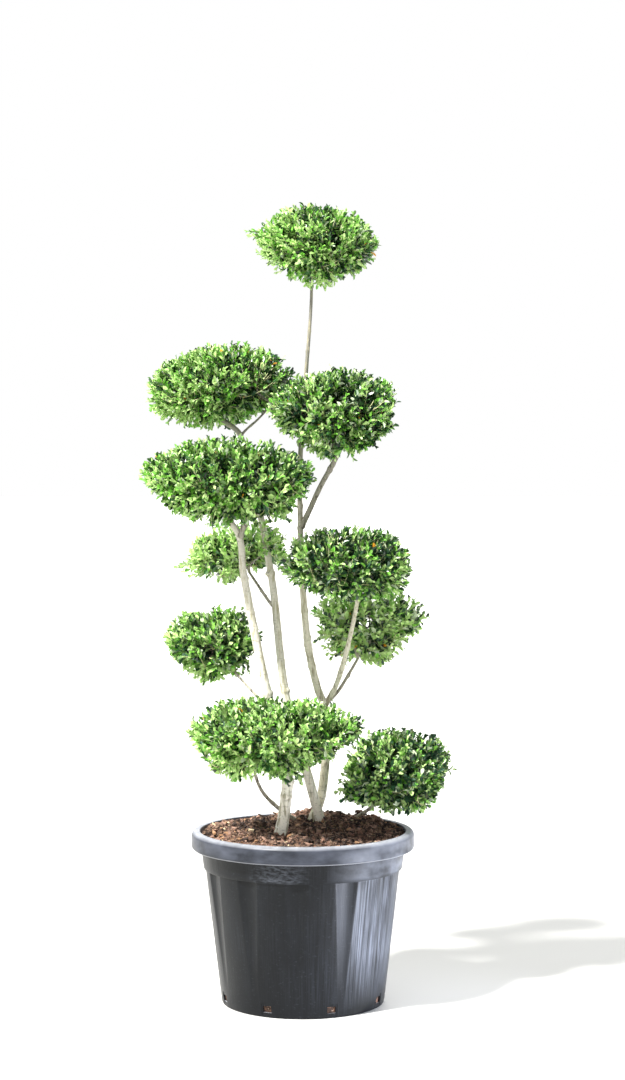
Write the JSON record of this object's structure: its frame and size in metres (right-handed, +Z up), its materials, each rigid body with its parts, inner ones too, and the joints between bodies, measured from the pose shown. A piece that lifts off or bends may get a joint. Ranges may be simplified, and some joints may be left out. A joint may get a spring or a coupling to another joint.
{
  "type": "cloud-pruned multi-stem privet topiary in a nursery pot",
  "caption": "Cloud-pruned privet topiary: leaning stems and boughs carry separate clipped leaf clouds above a round fluted nursery pot filled with potting soil.",
  "frame": {"origin": "centre of the pot's flat underside, where it stands on the ground", "axes": "+Z up, +X to the right and -Y to the front of the plant"},
  "size_m": [0.6629, 0.52, 1.7285],
  "materials": {
    "pot_plastic": "moulded recycled polypropylene, satin, scuffed and limescale-streaked",
    "potting_soil": "moist bark and peat substrate, lumpy and matt",
    "bark": "smooth pale grey-beige bark with rings and lenticels",
    "foliage": "dense small glossy leaves, yellow-green at the tips and dark green within"
  },
  "bodies": {
    "root": {"pot": "pot_plastic", "soil": "potting_soil", "stem_left": "bark", "stem_middle": "bark", "stem_right": "bark", "bough_middle_left": "bark", "bough_lower_left": "bark", "bough_back_left": "bark", "bough_upper_left": "bark", "bough_upper_right": "bark", "bough_middle_right": "bark", "bough_back_right": "bark", "shoot_front": "bark", "shoot_lower_right": "bark", "cloud_top": "foliage", "cloud_upper_left": "foliage", "cloud_upper_right": "foliage", "cloud_middle_left": "foliage", "cloud_back_left": "foliage", "cloud_middle_right": "foliage", "cloud_back_right": "foliage", "cloud_lower_left": "foliage", "cloud_front": "foliage", "cloud_lower_right": "foliage"}
  },
  "joints": []
}
